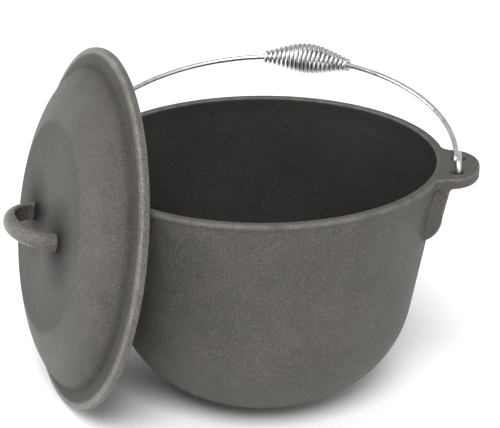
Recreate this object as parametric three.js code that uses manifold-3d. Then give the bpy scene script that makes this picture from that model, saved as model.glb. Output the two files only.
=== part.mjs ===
// Cast iron dutch oven: pot with two pierced ears, wire bail with a coiled grip, and a domed lid that leans on the
// pot. Millimetres, +Z up. The origin is on the pot's axis at the underside of its base, and the ears lie along X.
import * as THREE from "three";
import { mergeVertices } from "three/addons/utils/BufferGeometryUtils.js";
import Module from "manifold-3d";

const wasm = await Module();
wasm.setup();

// ---- driving dimensions ----

// pot body
const RIM_RADIUS = 180; // outer edge of the lip
const POT_HEIGHT = 248.5; // base to lip
const WALL_TAPER = THREE.MathUtils.degToRad(10.4);
const BASE_CORNER_RADIUS = 113.3;
const WALL = 6;
const LIP_WIDTH = 8.7;
const LIP_DEPTH = 8; // straight inner face of the lip
const LIP_BLEND = 9; // slope from the lip's inner face back to the wall
const BEAD_HEIGHT = 5.6; // raised band around the outside of the lip
const BEAD_PROUD = 1.2;

// ears, with a front and a rear hole, and a rib under each side
const EAR_OVERHANG = 33.5; // rim to the ear's end
const EAR_HALF_WIDTH = 41;
const EAR_THICKNESS = 11;
const EAR_END_DEPTH = 26.5; // the rounded end is part of an ellipse
const EAR_END_HALF_WIDTH = 37;
const EAR_ROOT_FILLET = 15;
const HOLE_RADIUS = 6.8;
const HOLE_MOUTH = 2.5; // rounding of the holes' mouths
const HOLE_PITCH = 36.6; // front hole to rear hole
const HOLE_OVERHANG = 12; // rim to the line of holes
const RIB_THICKNESS = 9;
const RIB_OVERHANG = 8; // rim to the rib's top outer corner
const RIB_DROP = 57; // below the ear
const RIB_LEAN = THREE.MathUtils.degToRad(12);
const RIB_TOE_RADIUS = 26;

// bail wire and its eyes
const BAIL_WIRE = 5.2;
const EYE_CLEARANCE = 0.9; // eye to the bridge between the two holes, all the way round
const EYE_SHIFT = 2.2; // the eye's wire steps outwards by twice this from the rear hole to the front one
const EYE_TIP_SHIFT = 0.5;
const EYE_TIP_ANGLE = THREE.MathUtils.degToRad(322);
const NECK_BEND_RADIUS = 8;
const LEG_CLEARANCE = 0.386; // legs to the rounded mouths of the rear holes, with the bail laid back
const ARCH_CENTRE = 5; // centre of the arch above the hinge axis
const BAIL_REST_TILT = THREE.MathUtils.degToRad(77); // back from upright

// coiled grip
const GRIP_LENGTH = 100; // along the arch
const GRIP_TURNS = 19.5;
const GRIP_WIRE = 3.7;
const GRIP_CLEARANCE = 0.55; // bail wire to the coil's end turns
const GRIP_MIDDLE_RADIUS = 14.6; // wire centre at the middle of the spindle
const GRIP_TAPER = 1.6;
const GRIP_SLID = THREE.MathUtils.degToRad(6); // along the arch from its top, towards +X

// lid
const LID_OVERHANG = 0; // edge of the lid beyond the rim, when the lid is on
const LID_EDGE = 8.5;
const LID_WALL = 5;
const LID_HEIGHT = 43;
const CROWN_RADIUS = 104; // flat top
const FLANGE_WIDTH = 19;
const LOCATING_CLEARANCE = 1.8; // locating ring to the lip's inner face
const LOCATING_DEPTH = 4;
const LOCATING_WIDTH = 5;
const EDGE_ROUND = 1.5;

// loop handle of the lid
const LOOP_HALF_SPAN = 46;
const LOOP_RISE = 37; // bar centre above the crown
const LOOP_BAR_WIDTH = 19;
const LOOP_BAR_DEPTH = 11;
const LOOP_FOOT_SINK = 3; // the bar's ends run this far into the crown

// leaning place of the lid: the direction in which its top faces, its lean, how far its middle lies to the side of
// the pot's axis, and its gap to what it leans on
const LID_FACING = THREE.MathUtils.degToRad(-149.5);
const LID_TILT = THREE.MathUtils.degToRad(11.4);
const LID_SIDE_OFFSET = 44.6;
const LID_GAP = 0.4;

// facets
const ROUND_SEGMENTS = 64;
const HOLE_SEGMENTS = 24;
const BAIL_SIDES = 8;
const BAIL_STEPS = 128;
const GRIP_SIDES = 6;
const GRIP_STEPS_PER_TURN = 16;
const LOOP_STEPS = 20;

// ---- derived places ----

const HINGE_HEIGHT = POT_HEIGHT - EAR_THICKNESS / 2;
const LIP_INNER_RADIUS = RIM_RADIUS - LIP_WIDTH;
const EAR_REACH = RIM_RADIUS + EAR_OVERHANG;
const HOLE_LINE = RIM_RADIUS + HOLE_OVERHANG;
const RIB_TOP_REACH = RIM_RADIUS + RIB_OVERHANG;
const LID_RADIUS = RIM_RADIUS + LID_OVERHANG;
const BRIDGE_HALF = HOLE_PITCH / 2 - HOLE_RADIUS;
const EYE_RADIUS =
  Math.hypot(BRIDGE_HALF - HOLE_MOUTH, EAR_THICKNESS / 2 - HOLE_MOUTH) +
  HOLE_MOUTH + EYE_CLEARANCE + BAIL_WIRE / 2;
const MOUTH_REACH = HOLE_PITCH / 2 + HOLE_RADIUS + HOLE_MOUTH;
const MOUTH_DEPTH = EAR_THICKNESS / 2 - HOLE_MOUTH;
const LEG_OFFSET = // legs stand this far in front of the hinge plane, to pass over the mouths
  HOLE_MOUTH + BAIL_WIRE / 2 + LEG_CLEARANCE -
  MOUTH_REACH * Math.cos(BAIL_REST_TILT) + MOUTH_DEPTH * Math.sin(BAIL_REST_TILT);
const NECK_CENTRE_W = NECK_BEND_RADIUS - LEG_OFFSET;
const NECK_CENTRE_V = Math.sqrt((EYE_RADIUS + NECK_BEND_RADIUS) ** 2 - NECK_CENTRE_W ** 2);
const LEG_X = HOLE_LINE - EYE_SHIFT;
const ARCH_RADIUS = Math.hypot(LEG_X, NECK_CENTRE_V - ARCH_CENTRE);

// ---- solids ----

function toSolid(geometry) {
  const plain = geometry.clone();
  plain.deleteAttribute("normal");
  plain.deleteAttribute("uv");
  const merged = mergeVertices(plain, 1e-4);
  return new wasm.Manifold(
    new wasm.Mesh({
      numProp: 3,
      vertProperties: merged.attributes.position.array,
      triVerts: new Uint32Array(merged.index.array),
    }),
  );
}

function toGeometry(solid) {
  const mesh = solid.getMesh();
  const geometry = new THREE.BufferGeometry();
  geometry.setAttribute("position", new THREE.BufferAttribute(mesh.vertProperties, 3));
  geometry.setIndex(new THREE.BufferAttribute(mesh.triVerts, 1));
  geometry.computeVertexNormals();
  return geometry;
}

// Turns a profile of [radius, height] points, listed from the bottom on the axis to the top on the axis.
function turned(profile, segments = ROUND_SEGMENTS) {
  const points = profile.map(([radius, height]) => new THREE.Vector2(radius, height));
  const geometry = new THREE.LatheGeometry(points, segments);
  return geometry.rotateX(Math.PI / 2);
}

// Points on an arc, angles measured from +radius towards +height.
function arcPoints(radius, height, size, from, to, steps) {
  const points = [];
  for (let i = 0; i <= steps; i++) {
    const angle = from + ((to - from) * i) / steps;
    points.push([radius + size * Math.cos(angle), height + size * Math.sin(angle)]);
  }
  return points;
}

// Points on a cubic curve between two ends with two handles.
function curvePoints(start, handleA, handleB, end, steps) {
  const curve = new THREE.CubicBezierCurve(
    new THREE.Vector2(...start),
    new THREE.Vector2(...handleA),
    new THREE.Vector2(...handleB),
    new THREE.Vector2(...end),
  );
  return curve.getPoints(steps).map((point) => [point.x, point.y]);
}

// ---- pot ----

// Outer radius of the tapered wall at a height.
function wallRadius(height) {
  return RIM_RADIUS - (POT_HEIGHT - height) * Math.tan(WALL_TAPER);
}

// Centre radius of the base corner whose arc touches the floor and the wall.
function cornerCentre() {
  const touchHeight = BASE_CORNER_RADIUS * (1 - Math.sin(WALL_TAPER));
  return wallRadius(touchHeight) - BASE_CORNER_RADIUS * Math.cos(WALL_TAPER);
}

// Body without its hollow: base flat, corner arc, tapered wall, then the bead and the lip's top edge.
function bodyProfile() {
  const centre = cornerCentre();
  const beadFoot = POT_HEIGHT - BEAD_HEIGHT;
  const beadRadius = RIM_RADIUS + BEAD_PROUD;
  const corner = arcPoints(centre, BASE_CORNER_RADIUS, BASE_CORNER_RADIUS, -Math.PI / 2, -WALL_TAPER, 14);
  return [
    [0, 0],
    ...corner,
    [wallRadius(beadFoot - BEAD_PROUD), beadFoot - BEAD_PROUD],
    [beadRadius, beadFoot + BEAD_PROUD],
    [beadRadius, POT_HEIGHT - 2 * BEAD_PROUD],
    [RIM_RADIUS, POT_HEIGHT],
    [0, POT_HEIGHT],
  ];
}

// Hollow of the pot, open at the top: it runs past the lip.
function hollowProfile() {
  const slant = WALL / Math.cos(WALL_TAPER);
  const cornerRadius = BASE_CORNER_RADIUS - WALL;
  const above = POT_HEIGHT + 20;
  const lipFoot = POT_HEIGHT - LIP_DEPTH;
  const blendFoot = lipFoot - LIP_BLEND;
  return [
    [0, WALL],
    ...arcPoints(cornerCentre(), BASE_CORNER_RADIUS, cornerRadius, -Math.PI / 2, -WALL_TAPER, 12),
    [wallRadius(blendFoot) - slant, blendFoot],
    [LIP_INNER_RADIUS, lipFoot],
    [LIP_INNER_RADIUS, POT_HEIGHT - EDGE_ROUND],
    [LIP_INNER_RADIUS + EDGE_ROUND, POT_HEIGHT],
    [LIP_INNER_RADIUS + EDGE_ROUND, above],
    [0, above],
  ];
}

// Outline of the ear on the +X side, seen from above: root fillets, flanks and a rounded end.
function earOutline() {
  const filletY = EAR_HALF_WIDTH + EAR_ROOT_FILLET;
  const filletX = Math.sqrt((RIM_RADIUS + EAR_ROOT_FILLET) ** 2 - filletY ** 2);
  const rimAngle = Math.atan2(filletY, filletX);
  const endX = EAR_REACH - EAR_END_DEPTH;
  const endY = EAR_HALF_WIDTH - EAR_END_HALF_WIDTH;
  const quarter = Math.PI / 2;
  const shape = new THREE.Shape();
  shape.moveTo(LIP_INNER_RADIUS * Math.cos(rimAngle), -LIP_INNER_RADIUS * Math.sin(rimAngle));
  shape.absarc(filletX, -filletY, EAR_ROOT_FILLET, Math.PI - rimAngle, quarter, true);
  shape.absellipse(endX, -endY, EAR_END_DEPTH, EAR_END_HALF_WIDTH, -quarter, 0, false);
  shape.absellipse(endX, endY, EAR_END_DEPTH, EAR_END_HALF_WIDTH, 0, quarter, false);
  shape.absarc(filletX, filletY, EAR_ROOT_FILLET, -quarter, rimAngle - Math.PI, true);
  shape.lineTo(LIP_INNER_RADIUS * Math.cos(rimAngle), LIP_INNER_RADIUS * Math.sin(rimAngle));
  shape.closePath();
  return shape;
}

function earPlate() {
  const plate = new THREE.ExtrudeGeometry(earOutline(), {
    depth: EAR_THICKNESS,
    bevelEnabled: false,
    curveSegments: 7,
  });
  return toSolid(plate.translate(0, 0, POT_HEIGHT - EAR_THICKNESS));
}

// Cutter for a hole through the ear, with rounded mouths above and below.
function holeCutter(y) {
  const half = EAR_THICKNESS / 2;
  const lower = arcPoints(HOLE_RADIUS + HOLE_MOUTH, HOLE_MOUTH - half, HOLE_MOUTH, 1.5 * Math.PI, Math.PI, 3);
  const upper = arcPoints(HOLE_RADIUS + HOLE_MOUTH, half - HOLE_MOUTH, HOLE_MOUTH, Math.PI, Math.PI / 2, 3);
  const past = half + 5;
  const profile = [
    [0, -past],
    [HOLE_RADIUS + HOLE_MOUTH, -past],
    ...lower,
    ...upper,
    [HOLE_RADIUS + HOLE_MOUTH, past],
    [0, past],
  ];
  return toSolid(turned(profile, HOLE_SEGMENTS).translate(HOLE_LINE, y, HINGE_HEIGHT));
}

// Rib under one side of an ear: its outer edge leans in and ends in a round toe on the wall.
function earRib(side) {
  const top = POT_HEIGHT - EAR_THICKNESS + 1;
  const toeTop = POT_HEIGHT - EAR_THICKNESS - RIB_DROP + RIB_TOE_RADIUS;
  const toeReach = RIB_TOP_REACH - (top - toeTop) * Math.tan(RIB_LEAN);
  const inside = Math.min(wallRadius(toeTop - RIB_TOE_RADIUS) - WALL, toeReach - RIB_TOE_RADIUS - 1);
  const shape = new THREE.Shape();
  shape.moveTo(inside, top);
  shape.lineTo(RIB_TOP_REACH, top);
  shape.lineTo(toeReach, toeTop);
  shape.absarc(toeReach - RIB_TOE_RADIUS, toeTop, RIB_TOE_RADIUS, 0, -Math.PI / 2, true);
  shape.lineTo(inside, toeTop - RIB_TOE_RADIUS);
  shape.closePath();
  const rib = new THREE.ExtrudeGeometry(shape, { depth: RIB_THICKNESS, bevelEnabled: false, curveSegments: 5 });
  rib.rotateX(Math.PI / 2); // outline into the XZ plane, thickness towards -Y
  const outerFace = side > 0 ? EAR_HALF_WIDTH : -EAR_HALF_WIDTH + RIB_THICKNESS;
  return toSolid(rib.translate(0, outerFace, 0));
}

function ear() {
  let solid = earPlate();
  for (const side of [-1, 1]) {
    solid = solid.add(earRib(side));
    solid = solid.subtract(holeCutter((side * HOLE_PITCH) / 2));
  }
  return solid;
}

function potSolid() {
  const rightEar = ear();
  const leftEar = rightEar.rotate([0, 0, 180]);
  const body = toSolid(turned(bodyProfile()));
  const hollow = toSolid(turned(hollowProfile()));
  return body.add(rightEar).add(leftEar).subtract(hollow);
}

// ---- bail ----

// The bail stands upright in its own frame, with the hinge axis along X through the origin.
// Right-hand eye, from its tip round the bridge to the neck where it meets the leg.
function eyePoints() {
  const neckAngle = Math.atan2(NECK_CENTRE_W, NECK_CENTRE_V);
  const steps = 22;
  const points = [];
  for (let i = 0; i <= steps; i++) {
    const angle = EYE_TIP_ANGLE + ((neckAngle - EYE_TIP_ANGLE) * i) / steps;
    const underneath = THREE.MathUtils.smoothstep(angle, neckAngle, Math.PI);
    const over = THREE.MathUtils.smoothstep(angle, Math.PI, EYE_TIP_ANGLE);
    const shift = -EYE_SHIFT + 2 * EYE_SHIFT * underneath - (EYE_SHIFT - EYE_TIP_SHIFT) * over;
    points.push(
      new THREE.Vector3(HOLE_LINE + shift, EYE_RADIUS * Math.sin(angle), EYE_RADIUS * Math.cos(angle)),
    );
  }
  return points;
}

// Reverse bend from the eye into the leg.
function neckPoints() {
  const from = Math.atan2(-NECK_CENTRE_W, -NECK_CENTRE_V);
  const to = -Math.PI / 2;
  const steps = 5;
  const points = [];
  for (let i = 1; i <= steps; i++) {
    const angle = from + ((to - from) * i) / steps;
    points.push(
      new THREE.Vector3(
        LEG_X,
        NECK_CENTRE_W + NECK_BEND_RADIUS * Math.sin(angle),
        NECK_CENTRE_V + NECK_BEND_RADIUS * Math.cos(angle),
      ),
    );
  }
  return points;
}

// A point of the arch, by its angle from the top towards +X.
function archPoint(angle) {
  const x = ARCH_RADIUS * Math.sin(angle);
  return new THREE.Vector3(x, -LEG_OFFSET, ARCH_CENTRE + ARCH_RADIUS * Math.cos(angle));
}

class BailCurve extends THREE.CatmullRomCurve3 {
  constructor() {
    const half = [...eyePoints(), ...neckPoints()];
    const legAngle = Math.acos((NECK_CENTRE_V - ARCH_CENTRE) / ARCH_RADIUS);
    const steps = 40;
    const arch = [];
    for (let i = 1; i < steps; i++) arch.push(archPoint(legAngle - (2 * legAngle * i) / steps));
    const mirrored = half.map((point) => new THREE.Vector3(-point.x, point.y, point.z)).reverse();
    super([...half, ...arch, ...mirrored]);
    this.arcLengthDivisions = 1200;
  }
}

// Closed round section for a wire.
function wireSection(diameter, sides) {
  const points = [];
  for (let i = 0; i < sides; i++) {
    const angle = (2 * Math.PI * (i + 0.5)) / sides;
    points.push(new THREE.Vector2((diameter / 2) * Math.cos(angle), (diameter / 2) * Math.sin(angle)));
  }
  return new THREE.Shape(points);
}

function bailGeometry() {
  return new THREE.ExtrudeGeometry(wireSection(BAIL_WIRE, BAIL_SIDES), {
    steps: BAIL_STEPS,
    extrudePath: new BailCurve(),
  });
}

// ---- grip ----

// Right-handed coil around the arch, thin at both ends and wide in the middle.
class GripCurve extends THREE.Curve {
  constructor() {
    super();
    this.arcLengthDivisions = 3000;
  }

  getPoint(t, target = new THREE.Vector3()) {
    const endRadius = BAIL_WIRE / 2 + GRIP_CLEARANCE + GRIP_WIRE / 2;
    const swell = Math.sin(Math.PI * t) ** GRIP_TAPER;
    const radius = endRadius + (GRIP_MIDDLE_RADIUS - endRadius) * swell;
    const angle = GRIP_SLID + (t - 0.5) * ((GRIP_LENGTH - GRIP_WIRE) / ARCH_RADIUS);
    const turn = 2 * Math.PI * GRIP_TURNS * t;
    const outwards = ARCH_RADIUS + radius * Math.cos(turn);
    return target.set(
      outwards * Math.sin(angle),
      -LEG_OFFSET + radius * Math.sin(turn),
      ARCH_CENTRE + outwards * Math.cos(angle),
    );
  }
}

function gripGeometry() {
  return new THREE.ExtrudeGeometry(wireSection(GRIP_WIRE, GRIP_SIDES), {
    steps: Math.round(GRIP_TURNS * GRIP_STEPS_PER_TURN),
    extrudePath: new GripCurve(),
  });
}

// ---- lid ----

// Section of the lid, from the axis under the crown, out to the edge, and back over the dome.
function lidProfile() {
  const flangeRadius = LID_RADIUS - FLANGE_WIDTH;
  const ringOuter = LIP_INNER_RADIUS - LOCATING_CLEARANCE;
  const ringInner = ringOuter - LOCATING_WIDTH;
  const domeFoot = LID_EDGE + EDGE_ROUND;
  const underside = curvePoints(
    [CROWN_RADIUS - 2, LID_HEIGHT - LID_WALL],
    [CROWN_RADIUS + 25, LID_HEIGHT - LID_WALL - 6],
    [flangeRadius - 11, domeFoot + 8],
    [flangeRadius - 3.5, domeFoot - LID_WALL + 0.5],
    9,
  );
  const dome = curvePoints(
    [flangeRadius, domeFoot],
    [flangeRadius - 5, domeFoot + 15],
    [CROWN_RADIUS + 26, LID_HEIGHT - 7],
    [CROWN_RADIUS, LID_HEIGHT],
    10,
  );
  return [
    [0, LID_HEIGHT - LID_WALL],
    ...underside,
    [ringInner, EDGE_ROUND],
    [ringInner + EDGE_ROUND, -LOCATING_DEPTH],
    [ringOuter - EDGE_ROUND, -LOCATING_DEPTH],
    [ringOuter, 0],
    [LID_RADIUS - EDGE_ROUND, 0],
    [LID_RADIUS, EDGE_ROUND],
    [LID_RADIUS, LID_EDGE - EDGE_ROUND],
    [LID_RADIUS - EDGE_ROUND, LID_EDGE],
    ...dome,
    [0, LID_HEIGHT],
  ];
}

// Half of an ellipse that stands on the crown, with its feet on the Y axis of the lid.
class LoopCurve extends THREE.Curve {
  getPoint(t, target = new THREE.Vector3()) {
    const angle = Math.PI * t;
    const rise = LOOP_RISE + LOOP_FOOT_SINK;
    const foot = LID_HEIGHT - LOOP_FOOT_SINK;
    return target.set(0, LOOP_HALF_SPAN * Math.cos(angle), foot + rise * Math.sin(angle));
  }
}

// Bar section of the loop: flat on the inside and round on the outside.
function loopSection() {
  const halfWidth = LOOP_BAR_WIDTH / 2;
  const flat = LOOP_BAR_DEPTH / 2;
  const steps = 8;
  const points = [];
  for (let i = 0; i <= steps; i++) {
    const angle = (Math.PI * i) / steps;
    points.push(new THREE.Vector2(-flat + LOOP_BAR_DEPTH * Math.sin(angle), halfWidth * Math.cos(angle)));
  }
  return new THREE.Shape(points);
}

function lidSolid() {
  const loop = new THREE.ExtrudeGeometry(loopSection(), { steps: LOOP_STEPS, extrudePath: new LoopCurve() });
  return toSolid(turned(lidProfile())).add(toSolid(loop));
}

// Where the middle of the lid's underside stands, a distance away from the pot's axis in the direction it faces.
function lidPlace(distance) {
  const side = LID_FACING + Math.PI / 2;
  return new THREE.Vector3(
    distance * Math.cos(LID_FACING) - LID_SIDE_OFFSET * Math.cos(side),
    distance * Math.sin(LID_FACING) - LID_SIDE_OFFSET * Math.sin(side),
    LID_RADIUS * Math.cos(LID_TILT),
  );
}

// Brings the standing lid up to the pot until only its gap is left.
function lidDistance(lid, pot) {
  let touching = 0;
  let clear = 3 * RIM_RADIUS;
  for (let i = 0; i < 16; i++) {
    const middle = (touching + clear) / 2;
    const place = lidPlace(middle);
    const turn = new THREE.Matrix4().makeRotationFromEuler(lidRotation());
    const stood = lid.transform(turn.setPosition(place).elements);
    if (stood.intersect(pot).volume() > 0) touching = middle;
    else clear = middle;
  }
  return clear + LID_GAP / Math.cos(LID_TILT);
}

function lidRotation() {
  return new THREE.Euler(0, Math.PI / 2 - LID_TILT, LID_FACING, "ZYX");
}

// ---- assembly ----

function material(color, roughness, metalness) {
  return new THREE.MeshStandardMaterial({ color, roughness, metalness });
}

function named(name, geometry, look) {
  const mesh = new THREE.Mesh(geometry, look);
  mesh.name = name;
  return mesh;
}

const castIron = material(0x4f4c47, 0.72, 0.55);
const lidIron = material(0x5a5751, 0.68, 0.55);
const bailSteel = material(0xd4d8da, 0.25, 1);
const gripSteel = material(0xc4c8ca, 0.3, 1);

const potBody = potSolid();
const lidBody = lidSolid();

const dutchOven = new THREE.Group();
dutchOven.add(named("pot", toGeometry(potBody), castIron));

const bailGroup = new THREE.Group();
bailGroup.position.set(0, 0, HINGE_HEIGHT);
bailGroup.rotation.x = -BAIL_REST_TILT;
bailGroup.add(named("bail", bailGeometry(), bailSteel));
bailGroup.add(named("grip", gripGeometry(), gripSteel));
dutchOven.add(bailGroup);

const lidGroup = new THREE.Group();
lidGroup.position.copy(lidPlace(lidDistance(lidBody, potBody)));
lidGroup.rotation.copy(lidRotation());
lidGroup.add(named("lid", toGeometry(lidBody), lidIron));
dutchOven.add(lidGroup);

export default dutchOven;
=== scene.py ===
# Cast iron dutch oven: pot, wire bail with a coiled grip, and a domed lid leaning on the pot.
# Sizes below are in millimetres and become metres when a mesh is made.
import math

import bmesh
import bpy
import numpy as np
from mathutils import Matrix, Vector


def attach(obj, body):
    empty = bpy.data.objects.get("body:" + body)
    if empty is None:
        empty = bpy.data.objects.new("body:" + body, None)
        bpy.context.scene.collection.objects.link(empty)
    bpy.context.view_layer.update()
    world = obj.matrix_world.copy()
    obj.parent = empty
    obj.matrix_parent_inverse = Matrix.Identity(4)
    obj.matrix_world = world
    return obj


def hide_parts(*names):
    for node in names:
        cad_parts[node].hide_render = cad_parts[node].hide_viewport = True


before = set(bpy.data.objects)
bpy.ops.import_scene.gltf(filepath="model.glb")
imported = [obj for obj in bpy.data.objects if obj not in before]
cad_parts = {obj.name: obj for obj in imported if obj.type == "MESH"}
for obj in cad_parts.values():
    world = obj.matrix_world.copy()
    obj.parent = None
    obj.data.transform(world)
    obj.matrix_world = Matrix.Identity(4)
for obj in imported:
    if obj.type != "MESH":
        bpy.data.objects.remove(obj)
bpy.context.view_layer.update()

# ---- sizes ----

RIM_RADIUS = 180.0
POT_HEIGHT = 248.5
WALL_TAPER = math.radians(10.4)
BASE_CORNER_RADIUS = 113.3
WALL = 6.0
LIP_WIDTH = 8.7
LIP_DEPTH = 8.0
LIP_BLEND = 9.0
BEAD_HEIGHT = 5.6
BEAD_PROUD = 1.2

EAR_OVERHANG = 33.5
EAR_HALF_WIDTH = 41.0
EAR_THICKNESS = 11.0
EAR_END_DEPTH = 26.5
EAR_END_HALF_WIDTH = 37.0
EAR_ROOT_FILLET = 15.0
HOLE_RADIUS = 6.8
HOLE_MOUTH = 2.5
HOLE_PITCH = 36.6
HOLE_OVERHANG = 12.0
RIB_THICKNESS = 9.0
RIB_OVERHANG = 8.0
RIB_DROP = 57.0
RIB_LEAN = math.radians(12)
RIB_TOE_RADIUS = 26.0
RIB_SINK = 4.0  # the rib's back, inside the wall
RIB_TOE_SINK = 3.0  # the rib's toe, inside the wall
EAR_LAP = 1.0  # the rib's top, inside the ear

BAIL_WIRE = 5.2
EYE_CLEARANCE = 0.9
EYE_SHIFT = 2.2
EYE_TIP_SHIFT = 0.5
EYE_TIP_ANGLE = math.radians(322)
NECK_BEND_RADIUS = 8.0
LEG_OFFSET = 2.2
ARCH_CENTRE = 5.0
BAIL_REST_TILT = math.radians(77)

GRIP_LENGTH = 100.0
GRIP_TURNS = 19.5
GRIP_WIRE = 3.7
GRIP_TRIM = 0.1  # off the coil's wire, so that its round sides stay inside the flat-sided solid's box
GRIP_CLEARANCE = 0.55
GRIP_MIDDLE_RADIUS = 14.6
GRIP_TAPER = 1.6
GRIP_SLID = math.radians(6)

LID_EDGE = 8.5
LID_WALL = 5.0
LID_HEIGHT = 43.0
CROWN_RADIUS = 104.0
FLANGE_WIDTH = 19.0
LOCATING_CLEARANCE = 1.8
LOCATING_DEPTH = 4.0
LOCATING_WIDTH = 5.0
EDGE_ROUND = 1.5
LOOP_HALF_SPAN = 46.0
LOOP_RISE = 37.0
LOOP_BAR_WIDTH = 19.0
LOOP_BAR_DEPTH = 11.0
LOOP_FOOT_SINK = 3.0

LID_PLACE = (-168.161, -47.292)  # centre of the leaning lid's underside
LID_FACING = math.radians(-149.5)
LID_TILT = math.radians(11.4)

# sizes that follow from the ones above
EAR_REACH = RIM_RADIUS + EAR_OVERHANG
HOLE_LINE = RIM_RADIUS + HOLE_OVERHANG
RIB_TOP_REACH = RIM_RADIUS + RIB_OVERHANG
LID_RADIUS = RIM_RADIUS
HINGE_HEIGHT = POT_HEIGHT - EAR_THICKNESS / 2
LIP_INNER_RADIUS = RIM_RADIUS - LIP_WIDTH
BRIDGE_HALF = HOLE_PITCH / 2 - HOLE_RADIUS
EYE_RADIUS = (
    math.hypot(BRIDGE_HALF - HOLE_MOUTH, EAR_THICKNESS / 2 - HOLE_MOUTH)
    + HOLE_MOUTH
    + EYE_CLEARANCE
    + BAIL_WIRE / 2
)
NECK_CENTRE_W = NECK_BEND_RADIUS - LEG_OFFSET
NECK_CENTRE_V = math.sqrt((EYE_RADIUS + NECK_BEND_RADIUS) ** 2 - NECK_CENTRE_W**2)
LEG_X = HOLE_LINE - EYE_SHIFT
ARCH_RADIUS = math.hypot(LEG_X, NECK_CENTRE_V - ARCH_CENTRE)

# ---- fineness of the meshes ----

TURNED_SEGMENTS = 256
EYE_STEPS = 96
NECK_STEPS = 18
ARCH_STEPS = 260
GRIP_STEPS_PER_TURN = 40
LOOP_STEPS = 56
LOOP_SIDES = 20

# ---- painted shade and light on the iron, as shares of its plain colour ----

# painted shade inside the pot's hollow
INSIDE_PAINTED_SHADE = (0.3, 0.31, 0.315)
# painted light on the lid's loop handle
LOOP_PAINTED_LIGHT = 1.8
# painted shadow round each foot of the loop
FOOT_PAINTED_SHADOW = ((0.2, 0.3), (0.5, 0.6), (1.0, 1.0))  # over the way out from a foot of the loop
FOOT_PAINTED_SHADOW_REACH = 0.05  # metres
# painted shade on the lid's crown and flange, and painted highlights on its flank and edge
RING_PAINTED_SHADING = (  # over the radius of the lid: crown, convex flank, flange and edge
    (0.25, 0.84),
    (0.565, 0.74),
    (0.6, 1.05),
    (0.75, 1.14),
    (0.87, 1.04),
    (0.9, 0.66),
    (0.955, 0.74),
    (0.975, 1.8),
)

# ---- mesh helpers ----


def add_object(name, vertices, faces):
    mesh = bpy.data.meshes.new(name)
    mesh.from_pydata([tuple(0.001 * c for c in v) for v in vertices], [], faces)
    mesh.validate()
    piece = bpy.data.objects.new(name, mesh)
    bpy.context.scene.collection.objects.link(piece)
    return piece


def smooth_shade(piece):
    piece.data.polygons.foreach_set("use_smooth", [True] * len(piece.data.polygons))
    piece.data.update()


def face_outward(piece):
    mesh = bmesh.new()
    mesh.from_mesh(piece.data)
    bmesh.ops.recalc_face_normals(mesh, faces=mesh.faces)
    mesh.to_mesh(piece.data)
    mesh.free()


def apply_modifiers(piece):
    depsgraph = bpy.context.evaluated_depsgraph_get()
    mesh = bpy.data.meshes.new_from_object(piece.evaluated_get(depsgraph))
    piece.modifiers.clear()
    old = piece.data
    piece.data = mesh
    bpy.data.meshes.remove(old)


def arc(radius, height, size, start, end, steps):
    turn = [start + (end - start) * i / steps for i in range(steps + 1)]
    return [(radius + size * math.cos(a), height + size * math.sin(a)) for a in turn]


def bezier(p0, p1, p2, p3, steps):
    points = []
    for i in range(steps + 1):
        t = i / steps
        weights = ((1 - t) ** 3, 3 * t * (1 - t) ** 2, 3 * t * t * (1 - t), t**3)
        points.append(tuple(sum(w * p[k] for w, p in zip(weights, (p0, p1, p2, p3))) for k in (0, 1)))
    return points


def refined(profile, longest):
    """The same profile with long straight stretches split up."""
    points = [profile[0]]
    for a, b in zip(profile, profile[1:]):
        parts = max(1, math.ceil(math.dist(a, b) / longest))
        for i in range(1, parts + 1):
            points.append((a[0] + (b[0] - a[0]) * i / parts, a[1] + (b[1] - a[1]) * i / parts))
    return points


def lathe(name, profile, segments):
    """Closed turned body. The profile starts and ends on the axis."""
    inner = profile[1:-1]
    vertices = [(0, 0, profile[0][1])]
    for radius, height in inner:
        for s in range(segments):
            a = 2 * math.pi * s / segments
            vertices.append((radius * math.cos(a), radius * math.sin(a), height))
    vertices.append((0, 0, profile[-1][1]))
    last = len(vertices) - 1
    faces = []
    for s in range(segments):
        n = (s + 1) % segments
        faces.append((0, 1 + n, 1 + s))
        top = 1 + (len(inner) - 1) * segments
        faces.append((last, top + s, top + n))
        for r in range(len(inner) - 1):
            a, b = 1 + r * segments, 1 + (r + 1) * segments
            faces.append((a + s, a + n, b + n, b + s))
    return add_object(name, vertices, faces)


def prism(name, outline, low, high, plane="xy"):
    """Outline extruded from low to high. In the xz plane it is extruded along y."""
    count = len(outline)
    if plane == "xy":
        vertices = [(x, y, low) for x, y in outline] + [(x, y, high) for x, y in outline]
    else:
        vertices = [(x, low, z) for x, z in outline] + [(x, high, z) for x, z in outline]
    faces = [tuple(range(count))[::-1], tuple(range(count, 2 * count))]
    faces += [(i, (i + 1) % count, count + (i + 1) % count, count + i) for i in range(count)]
    piece = add_object(name, vertices, faces)
    face_outward(piece)
    return piece


def soften(piece, width):
    bevel = piece.modifiers.new("round", "BEVEL")
    bevel.width = width * 0.001
    bevel.segments = 3
    bevel.limit_method = "ANGLE"
    bevel.angle_limit = math.radians(40)
    apply_modifiers(piece)


def cut(piece, tool):
    boolean = piece.modifiers.new("cut", "BOOLEAN")
    boolean.operation = "DIFFERENCE"
    boolean.solver = "EXACT"
    boolean.object = tool
    apply_modifiers(piece)
    bpy.data.objects.remove(tool)


def join(name, pieces):
    vertices, faces = [], []
    for piece in pieces:
        base = len(vertices)
        vertices += [1000 * v.co for v in piece.data.vertices]
        faces += [tuple(base + i for i in p.vertices) for p in piece.data.polygons]
        bpy.data.objects.remove(piece)
    return add_object(name, vertices, faces)


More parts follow.
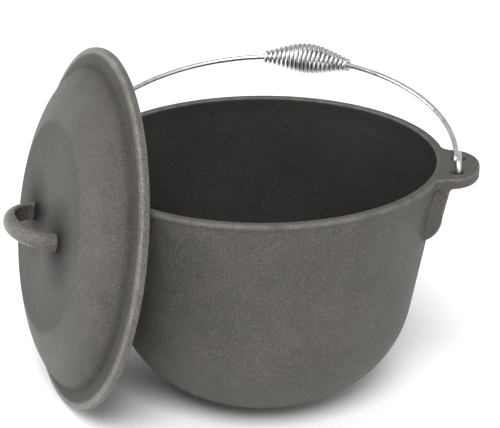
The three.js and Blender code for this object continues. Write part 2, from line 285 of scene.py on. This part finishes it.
def cast(piece, voxel, smoothing, keep):
    """Makes overlapping bodies into one casting, with the small fillets that a sand mould gives."""
    remesh = piece.modifiers.new("skin", "REMESH")
    remesh.mode = "VOXEL"
    remesh.voxel_size = voxel * 0.001
    remesh.adaptivity = 0.0
    smooth = piece.modifiers.new("fillets", "SMOOTH")
    smooth.factor = 0.5
    smooth.iterations = smoothing
    thin = piece.modifiers.new("thin", "DECIMATE")
    thin.ratio = keep
    apply_modifiers(piece)
    smooth_shade(piece)


def frames(points):
    """Parallel-transport frames along a line of points."""
    points = [Vector(p) for p in points]
    tangents = []
    for i in range(len(points)):
        a, b = points[max(i - 1, 0)], points[min(i + 1, len(points) - 1)]
        tangents.append((b - a).normalized())
    side = tangents[0].orthogonal().normalized()
    result = []
    for point, tangent in zip(points, tangents):
        side = (side - tangent * side.dot(tangent)).normalized()
        result.append((point, tangent, side, tangent.cross(side)))
    return result


def wire(name, points, diameter, sides, end_round):
    """Round wire along points, with slightly rounded cut ends."""
    radius = diameter / 2
    rings = []
    line = frames(points)
    first, last = line[0], line[-1]
    cap = [(0.0, 0.55), (0.12, 0.82), (0.45, 0.96)]  # depth into the rounding, and share of the radius
    for depth, share in cap:
        rings.append((first[0] + first[1] * depth * end_round, first, share))
    body = [f for f in line if (f[0] - first[0]).length > end_round and (f[0] - last[0]).length > end_round]
    rings += [(f[0], f, 1.0) for f in body]
    for depth, share in reversed(cap):
        rings.append((last[0] - last[1] * depth * end_round, last, share))
    vertices = []
    for centre, (_, _, u, v), share in rings:
        for s in range(sides):
            a = 2 * math.pi * s / sides
            vertices.append(centre + (u * math.cos(a) + v * math.sin(a)) * radius * share)
    faces = [tuple(range(sides))[::-1], tuple(range(len(vertices) - sides, len(vertices)))]
    for r in range(len(rings) - 1):
        for s in range(sides):
            n = (s + 1) % sides
            faces.append((r * sides + s, r * sides + n, (r + 1) * sides + n, (r + 1) * sides + s))
    piece = add_object(name, vertices, faces)
    smooth_shade(piece)
    return piece


# ---- pot ----


def wall_radius(height):
    return RIM_RADIUS - (POT_HEIGHT - height) * math.tan(WALL_TAPER)


def corner_centre():
    touch = BASE_CORNER_RADIUS * (1 - math.sin(WALL_TAPER))
    return wall_radius(touch) - BASE_CORNER_RADIUS * math.cos(WALL_TAPER)


def pot_section():
    centre = corner_centre()
    quarter = math.pi / 2
    foot = POT_HEIGHT - BEAD_HEIGHT
    bead = RIM_RADIUS + BEAD_PROUD
    slant = WALL / math.cos(WALL_TAPER)
    lip_foot = POT_HEIGHT - LIP_DEPTH
    blend_foot = lip_foot - LIP_BLEND
    outside = [
        (0, 0),
        *arc(centre, BASE_CORNER_RADIUS, BASE_CORNER_RADIUS, -quarter, -WALL_TAPER, 48),
        (wall_radius(foot - BEAD_PROUD), foot - BEAD_PROUD),
        (bead, foot + BEAD_PROUD),
        (bead, POT_HEIGHT - 2 * BEAD_PROUD),
        (RIM_RADIUS, POT_HEIGHT),
    ]
    inside = [
        (LIP_INNER_RADIUS + EDGE_ROUND, POT_HEIGHT),
        (LIP_INNER_RADIUS, POT_HEIGHT - EDGE_ROUND),
        (LIP_INNER_RADIUS, lip_foot),
        (wall_radius(blend_foot) - slant, blend_foot),
        *arc(centre, BASE_CORNER_RADIUS, BASE_CORNER_RADIUS - WALL, -WALL_TAPER, -quarter, 40),
        (0, WALL),
    ]
    return refined(outside + inside, 6.0)


def ear_outline():
    fillet_y = EAR_HALF_WIDTH + EAR_ROOT_FILLET
    fillet_x = math.sqrt((RIM_RADIUS + EAR_ROOT_FILLET) ** 2 - fillet_y**2)
    rim = math.atan2(fillet_y, fillet_x)
    end_x, end_y = EAR_REACH - EAR_END_DEPTH, EAR_HALF_WIDTH - EAR_END_HALF_WIDTH
    quarter = math.pi / 2
    inner = RIM_RADIUS - LIP_WIDTH / 2
    points = arc(fillet_x, -fillet_y, EAR_ROOT_FILLET, math.pi - rim, quarter, 8)
    for side, start in ((-1, -quarter), (1, 0)):
        for i in range(25):
            a = start + quarter * i / 24
            x = end_x + EAR_END_DEPTH * math.cos(a)
            points.append((x, side * end_y + EAR_END_HALF_WIDTH * math.sin(a)))
    points += arc(fillet_x, fillet_y, EAR_ROOT_FILLET, -quarter, rim - math.pi, 8)
    points += [(inner * math.cos(a), inner * math.sin(a)) for a in np.linspace(rim, -rim, 15)]
    return points


def hole_tool(y):
    half = EAR_THICKNESS / 2
    past = half + 5
    wide = HOLE_RADIUS + HOLE_MOUTH
    profile = [
        (0, -past),
        (wide, -past),
        *arc(wide, HOLE_MOUTH - half, HOLE_MOUTH, 1.5 * math.pi, math.pi, 5),
        *arc(wide, half - HOLE_MOUTH, HOLE_MOUTH, math.pi, math.pi / 2, 5),
        (wide, past),
        (0, past),
    ]
    tool = lathe("hole_tool", profile, 40)
    tool.data.transform(Matrix.Translation((0.001 * HOLE_LINE, 0.001 * y, 0.001 * HINGE_HEIGHT)))
    return tool


def rib(side):
    top = POT_HEIGHT - EAR_THICKNESS + EAR_LAP
    toe_top = POT_HEIGHT - EAR_THICKNESS - RIB_DROP + RIB_TOE_RADIUS
    toe_reach = RIB_TOP_REACH - (top - toe_top) * math.tan(RIB_LEAN)
    toe = arc(toe_reach - RIB_TOE_RADIUS, toe_top, RIB_TOE_RADIUS, 0, -math.pi / 2, 24)
    outline = [(RIB_TOP_REACH, top)] + [p for p in toe if p[0] > wall_radius(p[1]) - RIB_TOE_SINK]
    low = outline[-1][1]
    back = [low + (top - low) * i / 6 for i in range(7)]
    outline += [(wall_radius(height) - RIB_SINK, height) for height in back]
    high = EAR_HALF_WIDTH if side > 0 else -EAR_HALF_WIDTH + RIB_THICKNESS
    return prism("rib", outline, high - RIB_THICKNESS, high, "xz")


def half_turned(piece, name):
    copy = bpy.data.objects.new(name, piece.data.copy())
    bpy.context.scene.collection.objects.link(copy)
    copy.data.transform(Matrix.Rotation(math.pi, 4, "Z"))
    return copy


def make_pot():
    body = lathe("body", pot_section(), TURNED_SEGMENTS)
    plate = prism("ear", ear_outline(), POT_HEIGHT - EAR_THICKNESS, POT_HEIGHT)
    soften(plate, width=1.2)
    for side in (-1, 1):
        cut(plate, hole_tool(side * HOLE_PITCH / 2))
    ribs = [rib(-1), rib(1)]
    for one in ribs:
        soften(one, width=1.6)
    right = [plate, *ribs]
    left = [half_turned(piece, piece.name + "_left") for piece in right]
    pot = join("pot_casting", [body, *right, *left])
    cast(pot, voxel=1.5, smoothing=7, keep=0.45)
    return pot


# ---- lid ----


def lid_section():
    """The inner two points of each curve steer it and don't lie on it."""
    flange = LID_RADIUS - FLANGE_WIDTH
    ring_outer = LIP_INNER_RADIUS - LOCATING_CLEARANCE
    ring_inner = ring_outer - LOCATING_WIDTH
    foot = LID_EDGE + EDGE_ROUND
    underside = bezier(
        (CROWN_RADIUS - 2, LID_HEIGHT - LID_WALL),
        (CROWN_RADIUS + 25, LID_HEIGHT - LID_WALL - 6),
        (flange - 11, foot + 8),
        (flange - 3.5, foot - LID_WALL + 0.5),
        36,
    )
    dome = bezier(
        (flange, foot),
        (flange - 5, foot + 15),
        (CROWN_RADIUS + 26, LID_HEIGHT - 7),
        (CROWN_RADIUS, LID_HEIGHT),
        40,
    )
    profile = [
        (0, LID_HEIGHT - LID_WALL),
        *underside,
        (ring_inner, EDGE_ROUND),
        (ring_inner + EDGE_ROUND, -LOCATING_DEPTH),
        (ring_outer - EDGE_ROUND, -LOCATING_DEPTH),
        (ring_outer, 0),
        (LID_RADIUS - EDGE_ROUND, 0),
        (LID_RADIUS, EDGE_ROUND),
        (LID_RADIUS, LID_EDGE - EDGE_ROUND),
        (LID_RADIUS - EDGE_ROUND, LID_EDGE),
        *dome,
        (0, LID_HEIGHT),
    ]
    return refined(profile, 5.0)


def loop_handle():
    """D-shaped bar on half an ellipse, with its feet sunk a little into the crown."""
    rise = LOOP_RISE + LOOP_FOOT_SINK
    foot = LID_HEIGHT - LOOP_FOOT_SINK
    vertices, faces = [], []
    for i in range(LOOP_STEPS + 1):
        a = math.pi * i / LOOP_STEPS
        centre = Vector((0, LOOP_HALF_SPAN * math.cos(a), foot + rise * math.sin(a)))
        tangent = Vector((0, -LOOP_HALF_SPAN * math.sin(a), rise * math.cos(a))).normalized()
        outward = Vector((0, tangent.z, -tangent.y))
        for s in range(LOOP_SIDES + 1):
            b = math.pi * s / LOOP_SIDES
            reach = LOOP_BAR_DEPTH * (math.sin(b) ** 0.9 - 0.5)
            across = LOOP_BAR_WIDTH / 2 * math.copysign(abs(math.cos(b)) ** 0.9, math.cos(b))
            vertices.append(centre + outward * reach + Vector((across, 0, 0)))
    ring = LOOP_SIDES + 1
    faces += [tuple(range(ring))[::-1], tuple(range(LOOP_STEPS * ring, (LOOP_STEPS + 1) * ring))]
    for i in range(LOOP_STEPS):
        for s in range(ring):
            n = (s + 1) % ring
            faces.append((i * ring + s, i * ring + n, (i + 1) * ring + n, (i + 1) * ring + s))
    handle = add_object("loop", vertices, faces)
    face_outward(handle)
    soften(handle, width=1.2)
    return handle


def lid_matrix():
    centre = (*LID_PLACE, LID_RADIUS * math.cos(LID_TILT))
    place = Matrix.Translation([0.001 * c for c in centre])
    lean = Matrix.Rotation(math.pi / 2 - LID_TILT, 4, "Y")
    return place @ Matrix.Rotation(LID_FACING, 4, "Z") @ lean


def make_lid():
    lid = join("lid_casting", [lathe("cover", lid_section(), TURNED_SEGMENTS), loop_handle()])
    cast(lid, voxel=1.3, smoothing=6, keep=0.55)
    lid.data.transform(lid_matrix())
    return lid


# ---- bail and grip ----


def smoothstep(x, low, high):
    t = min(max((x - low) / (high - low), 0.0), 1.0)
    return t * t * (3 - 2 * t)


def bail_line():
    """Centre line of the upright bail, with the hinge axis along X through the origin."""
    neck = math.atan2(NECK_CENTRE_W, NECK_CENTRE_V)
    eye = []
    for i in range(EYE_STEPS + 1):
        a = EYE_TIP_ANGLE + (neck - EYE_TIP_ANGLE) * i / EYE_STEPS
        under = smoothstep(a, neck, math.pi)
        over = smoothstep(a, math.pi, EYE_TIP_ANGLE)
        shift = -EYE_SHIFT + 2 * EYE_SHIFT * under - (EYE_SHIFT - EYE_TIP_SHIFT) * over
        eye.append((HOLE_LINE + shift, EYE_RADIUS * math.sin(a), EYE_RADIUS * math.cos(a)))
    start, end = math.atan2(-NECK_CENTRE_W, -NECK_CENTRE_V), -math.pi / 2
    bend = []
    for i in range(1, NECK_STEPS + 1):
        a = start + (end - start) * i / NECK_STEPS
        y = NECK_CENTRE_W + NECK_BEND_RADIUS * math.sin(a)
        bend.append((LEG_X, y, NECK_CENTRE_V + NECK_BEND_RADIUS * math.cos(a)))
    leg = math.acos((NECK_CENTRE_V - ARCH_CENTRE) / ARCH_RADIUS)
    arch = []
    for i in range(1, ARCH_STEPS):
        a = leg - 2 * leg * i / ARCH_STEPS
        arch.append((ARCH_RADIUS * math.sin(a), -LEG_OFFSET, ARCH_CENTRE + ARCH_RADIUS * math.cos(a)))
    half = eye + bend
    return half + arch + [(-x, y, z) for x, y, z in reversed(half)]


def grip_line():
    end_radius = BAIL_WIRE / 2 + GRIP_CLEARANCE + GRIP_WIRE / 2
    steps = round(GRIP_TURNS * GRIP_STEPS_PER_TURN)
    points = []
    for i in range(steps + 1):
        t = i / steps
        radius = end_radius + (GRIP_MIDDLE_RADIUS - end_radius) * math.sin(math.pi * t) ** GRIP_TAPER
        a = GRIP_SLID + (t - 0.5) * ((GRIP_LENGTH - GRIP_WIRE) / ARCH_RADIUS)
        turn = 2 * math.pi * GRIP_TURNS * t
        out = ARCH_RADIUS + radius * math.cos(turn)
        y = -LEG_OFFSET + radius * math.sin(turn)
        points.append((out * math.sin(a), y, ARCH_CENTRE + out * math.cos(a)))
    return points


def laid_back(piece):
    place = Matrix.Translation((0, 0, 0.001 * HINGE_HEIGHT))
    piece.data.transform(place @ Matrix.Rotation(-BAIL_REST_TILT, 4, "X"))
    return piece


# ---- materials ----


class Nodes:
    def __init__(self, name):
        self.material = bpy.data.materials.new(name)
        self.material.use_nodes = True
        self.tree = self.material.node_tree
        self.shader = self.tree.nodes["Principled BSDF"]
        self.place = self.tree.nodes.new("ShaderNodeTexCoord").outputs["Object"]

    def add(self, kind, **settings):
        node = self.tree.nodes.new(kind)
        for key, value in settings.items():
            setattr(node, key, value)
        return node

    def link(self, source, target):
        self.tree.links.new(source, target)

    def noise(self, scale, detail=2.0, roughness=0.5, distortion=0.0):
        node = self.add("ShaderNodeTexNoise")
        node.inputs["Scale"].default_value = scale
        node.inputs["Detail"].default_value = detail
        node.inputs["Roughness"].default_value = roughness
        node.inputs["Distortion"].default_value = distortion
        self.link(self.place, node.inputs["Vector"])
        return node.outputs["Fac"]

    def cells(self, scale):
        node = self.add("ShaderNodeTexVoronoi")
        node.inputs["Scale"].default_value = scale
        self.link(self.place, node.inputs["Vector"])
        return node.outputs["Distance"]

    def ramp(self, source, *stops):
        node = self.add("ShaderNodeValToRGB")
        ramp = node.color_ramp
        while len(ramp.elements) < len(stops):
            ramp.elements.new(0.5)
        for element, (position, value) in zip(ramp.elements, stops):
            element.position = position
            element.color = (value, value, value, 1) if isinstance(value, float) else (*value, 1)
        self.link(source, node.inputs["Fac"])
        return node.outputs["Color"]

    def math(self, operation, a, b, clamp=False):
        node = self.add("ShaderNodeMath", operation=operation, use_clamp=clamp)
        for socket, value in zip(node.inputs, (a, b)):
            if isinstance(value, (int, float)):
                socket.default_value = value
            else:
                self.link(value, socket)
        return node.outputs[0]

    def mix(self, factor, a, b, blend="MIX"):
        node = self.add("ShaderNodeMix", data_type="RGBA", blend_type=blend)
        for name, value in (("Factor", factor), ("A", a), ("B", b)):
            socket = next(s for s in node.inputs if s.name == name and s.enabled)
            if isinstance(value, (int, float)):
                socket.default_value = value
            elif isinstance(value, tuple):
                socket.default_value = (*value, 1)
            else:
                self.link(value, socket)
        return next(s for s in node.outputs if s.enabled)

    def hypotenuse(self, a, b):
        squares = self.math("ADD", self.math("MULTIPLY", a, a), self.math("MULTIPLY", b, b))
        return self.math("SQRT", squares, 0.0)

    def vector(self, operation, a, b, output=0):
        node = self.add("ShaderNodeVectorMath", operation=operation)
        for socket, value in zip(node.inputs, (a, b)):
            if isinstance(value, (tuple, Vector)):
                socket.default_value = value
            else:
                self.link(value, socket)
        return node.outputs[output]

    def bump(self, height, strength, distance, normal=None):
        node = self.add("ShaderNodeBump")
        node.inputs["Strength"].default_value = strength
        node.inputs["Distance"].default_value = distance
        self.link(height, node.inputs["Height"])
        if normal is not None:
            self.link(normal, node.inputs["Normal"])
        return node.outputs["Normal"]


def hollow_mask(n):
    """1 inside the pot, 0 on its outside and on top of the lip, from a point's radius and height."""
    parts = n.add("ShaderNodeSeparateXYZ")
    n.link(n.place, parts.inputs[0])
    x, y, z = parts.outputs
    radius = n.hypotenuse(x, y)
    slope = math.tan(WALL_TAPER)
    middle = 0.001 * (RIM_RADIUS - POT_HEIGHT * slope - WALL / 2 / math.cos(WALL_TAPER))
    cone = n.math("ADD", n.math("MULTIPLY", z, slope), middle)
    depth = n.math("SUBTRACT", 0.001 * BASE_CORNER_RADIUS, z)
    size_squared = (0.001 * (BASE_CORNER_RADIUS - WALL / 2)) ** 2
    across_squared = n.math("SUBTRACT", size_squared, n.math("MULTIPLY", depth, depth))
    across = n.math("SQRT", n.math("MAXIMUM", across_squared, 0.0), 0.0)
    corner = n.math("ADD", across, 0.001 * corner_centre())
    touch = 0.001 * BASE_CORNER_RADIUS * (1 - math.sin(WALL_TAPER))
    low = n.math("LESS_THAN", z, touch)
    high = n.math("SUBTRACT", 1.0, low)
    wall = n.math("ADD", n.math("MULTIPLY", corner, low), n.math("MULTIPLY", cone, high))
    fade_across, fade_up = 900.0, 600.0  # how sharply the mask fades, per metre
    inside = n.math("MULTIPLY", n.math("SUBTRACT", wall, radius), fade_across, True)
    above_base = n.math("GREATER_THAN", z, 0.001 * WALL / 2)
    lip_top = 0.001 * (POT_HEIGHT - 1.0)
    below_lip = n.math("MULTIPLY", n.math("SUBTRACT", lip_top, z), fade_up, True)
    return n.math("MULTIPLY", inside, n.math("MULTIPLY", above_base, below_lip))


def pot_painted_shade(n):
    """Painted shade: the hollow is darker than the outside."""
    return n.mix(hollow_mask(n), (1.0, 1.0, 1.0), INSIDE_PAINTED_SHADE)


def lid_painted_shading(n):
    """Painted shade on the crown and the flange, painted shadow round the loop's feet, and painted highlights
    on the loop and the edge.
    """
    turn = lid_matrix().to_3x3()
    offset = n.vector("SUBTRACT", n.place, lid_matrix().translation)
    x, y, z = (n.vector("DOT_PRODUCT", offset, turn.col[i], 1) for i in range(3))
    rings = n.ramp(n.math("DIVIDE", n.hypotenuse(x, y), 0.001 * LID_RADIUS), *RING_PAINTED_SHADING)
    # painted shadow round the loop's feet
    past_foot = n.math("SUBTRACT", n.math("ABSOLUTE", y, 0.0), 0.001 * LOOP_HALF_SPAN)
    feet = n.ramp(n.math("DIVIDE", n.hypotenuse(x, past_foot), FOOT_PAINTED_SHADOW_REACH), *FOOT_PAINTED_SHADOW)
    # painted light on the loop above its fillets
    above_fillet = 0.001 * (LID_HEIGHT + 3)
    on_loop = n.math("GREATER_THAN", z, above_fillet)
    return n.mix(on_loop, n.mix(1.0, rings, feet, "MULTIPLY"), (LOOP_PAINTED_LIGHT,) * 3)


def cast_iron(name, dark, light, worn, gloss, painted_shading):
    """Sand casting: fine grain, shallow pits, cloudy tone and paler rubbed edges, darkened and lightened by
    the painted shade and light it is given.
    """
    n = Nodes(name)
    clouds = n.noise(16, detail=4, roughness=0.55, distortion=0.4)
    blotches = n.noise(70, detail=3, roughness=0.6)
    sand = n.noise(680, detail=3, roughness=0.75)
    specks = n.noise(1100, detail=1)
    pits = n.cells(380)
    darkest = tuple(0.7 * c for c in dark)
    colour = n.mix(n.ramp(clouds, (0.32, 0.0), (0.68, 1.0)), dark, light)
    mottled = n.mix(0.35, colour, n.ramp(blotches, (0.3, darkest), (0.7, light)))
    grained = n.mix(0.78, mottled, n.ramp(sand, (0.36, 0.2), (0.64, 1.0)), "MULTIPLY")
    speckled = n.mix(n.ramp(specks, (0.62, 0.0), (0.72, 0.4)), grained, worn)
    edges = n.ramp(n.add("ShaderNodeNewGeometry").outputs["Pointiness"], (0.515, 0.0), (0.56, 1.0))
    rubbed = n.math("MULTIPLY", edges, n.ramp(blotches, (0.35, 0.35), (0.6, 1.0)))
    finished = n.mix(n.math("MULTIPLY", rubbed, 0.6), speckled, worn)
    # painted shade and light laid over the iron's own colour
    shade = painted_shading(n)
    n.link(n.mix(1.0, finished, shade, "MULTIPLY"), n.shader.inputs["Base Color"])
    n.shader.inputs["Metallic"].default_value = 0.2
    n.shader.inputs["Specular IOR Level"].default_value = gloss
    sheen = n.math("ADD", n.math("MULTIPLY", blotches, 0.16), n.math("MULTIPLY", sand, 0.2))
    dullness = n.math("MULTIPLY", n.math("SUBTRACT", 1.0, shade), 0.45)
    least_roughness = 0.34
    roughness = n.math("ADD", n.math("ADD", sheen, dullness), least_roughness, True)
    n.link(roughness, n.shader.inputs["Roughness"])
    coarse = n.bump(n.noise(150), strength=0.4, distance=0.0007)
    pitted = n.bump(n.ramp(pits, (0.0, 0.0), (0.22, 1.0)), strength=0.35, distance=0.0003, normal=coarse)
    grain = n.bump(sand, strength=0.9, distance=0.0014, normal=pitted)
    n.link(grain, n.shader.inputs["Normal"])
    return n.material


def zinc_wire(name, colour, roughness):
    """Bright zinc plating on drawn wire: soft clouding, faint draw marks and slightly duller patches."""
    n = Nodes(name)
    clouds = n.noise(120, detail=3, roughness=0.6, distortion=0.3)
    fine = n.noise(900, roughness=0.6)
    dull = tuple(0.72 * c for c in colour)
    tone = n.mix(n.ramp(clouds, (0.3, 0.0), (0.7, 1.0)), dull, colour)
    finished = n.mix(0.18, tone, n.ramp(fine, (0.3, 0.5), (0.7, 1.0)), "MULTIPLY")
    n.link(finished, n.shader.inputs["Base Color"])
    n.shader.inputs["Metallic"].default_value = 1.0
    n.link(n.math("ADD", n.math("MULTIPLY", clouds, 0.2), roughness, True), n.shader.inputs["Roughness"])
    waves = n.bump(clouds, strength=0.15, distance=0.0004)
    n.link(n.bump(fine, strength=0.25, distance=0.0002, normal=waves), n.shader.inputs["Normal"])
    return n.material


# ---- pieces ----

pot = make_pot()
pot_iron = cast_iron(
    "pot_iron",
    dark=(0.092, 0.085, 0.0745),
    light=(0.134, 0.124, 0.11),
    worn=(0.33, 0.32, 0.3),
    gloss=0.4,
    painted_shading=pot_painted_shade,
)
pot.data.materials.append(pot_iron)
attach(pot, "pot")
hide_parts("pot")

lid = make_lid()
lid_iron = cast_iron(
    "lid_iron",
    # the lid's iron is the pot's iron painted about a fifth darker, as painted shade
    dark=(0.074, 0.068, 0.06),
    light=(0.109, 0.1015, 0.09),
    worn=(0.25, 0.238, 0.218),
    gloss=0.26,
    painted_shading=lid_painted_shading,
)
lid.data.materials.append(lid_iron)
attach(lid, "lid")
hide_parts("lid")

bail = laid_back(wire("bail_wire", bail_line(), BAIL_WIRE, sides=24, end_round=1.1))
bail.data.materials.append(zinc_wire("bail_steel", (0.8, 0.81, 0.82), roughness=0.2))
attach(bail, "bail")
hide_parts("bail")

grip = laid_back(wire("grip_coil", grip_line(), GRIP_WIRE - GRIP_TRIM, sides=14, end_round=0.8))
grip.data.materials.append(zinc_wire("grip_steel", (0.74, 0.745, 0.75), roughness=0.24))
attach(grip, "grip")
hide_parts("grip")

# ---- stage, light and camera ----


def make_floor():
    half = 6000.0
    corners = [(-half, -half, 0), (half, -half, 0), (half, half, 0), (-half, half, 0)]
    floor = add_object("floor", corners, [(0, 1, 2, 3)])
    n = Nodes("pale_floor")
    n.link(n.ramp(n.noise(1.5), (0.3, 0.86), (0.7, 0.88)), n.shader.inputs["Base Color"])
    n.shader.inputs["Roughness"].default_value = 0.9
    n.shader.inputs["Specular IOR Level"].default_value = 0.1
    floor.data.materials.append(n.material)


def add_lamp(name, lamp, place, target):
    lamp_object = bpy.data.objects.new(name, lamp)
    lamp_object.location = place
    lamp_object.rotation_euler = (Vector(target) - Vector(place)).to_track_quat("-Z", "Y").to_euler()
    bpy.context.scene.collection.objects.link(lamp_object)


def area_light(name, place, target, size, power):
    lamp = bpy.data.lights.new(name, "AREA")
    lamp.shape = "RECTANGLE"
    lamp.size, lamp.size_y = size
    lamp.energy = power
    add_lamp(name, lamp, place, target)


def sun_light(name, place, strength, softness):
    lamp = bpy.data.lights.new(name, "SUN")
    lamp.energy = strength
    lamp.angle = softness
    add_lamp(name, lamp, place, (0, 0, 0))


def make_camera():
    distance, elevation, azimuth = 1585.0, math.radians(20.78), math.radians(9)
    target = Vector((0, 0, POT_HEIGHT))
    level = math.cos(elevation)
    back = Vector((math.sin(azimuth) * level, -math.cos(azimuth) * level, math.sin(elevation)))
    camera = bpy.data.cameras.new("camera")
    camera.sensor_width = 36.0
    camera.lens = 115.2
    camera.clip_start, camera.clip_end = 0.05, 100.0
    camera_object = bpy.data.objects.new("camera", camera)
    bpy.context.scene.collection.objects.link(camera_object)
    # The camera aims a little left of the rim's centre and below it.
    yaw, pitch = math.radians(0.4437), math.radians(2.1691)
    aim = (-back).to_track_quat("-Z", "Y").to_matrix().to_4x4()
    turn = Matrix.Rotation(-pitch, 4, "X") @ Matrix.Rotation(yaw, 4, "Y")
    camera_object.matrix_world = Matrix.Translation(0.001 * (target + back * distance)) @ aim @ turn
    bpy.context.scene.camera = camera_object


make_floor()
make_camera()
sun_light("sun", (0.15, -0.9, 1.15), strength=2.95, softness=math.radians(30))
area_light("left_box", (-2.1, -0.2, 0.7), (-0.2, -0.05, 0.18), size=(1.2, 1.2), power=36)
area_light("right_box", (1.5, -1.2, 1.2), (0, 0, 0.15), size=(1.0, 1.4), power=5)

world = bpy.data.worlds.new("studio")
world.use_nodes = True
world.node_tree.nodes["Background"].inputs["Color"].default_value = (1.0, 1.0, 1.0, 1)
world.node_tree.nodes["Background"].inputs["Strength"].default_value = 0.58
bpy.context.scene.world = world
bpy.context.scene.view_settings.view_transform = "Standard"
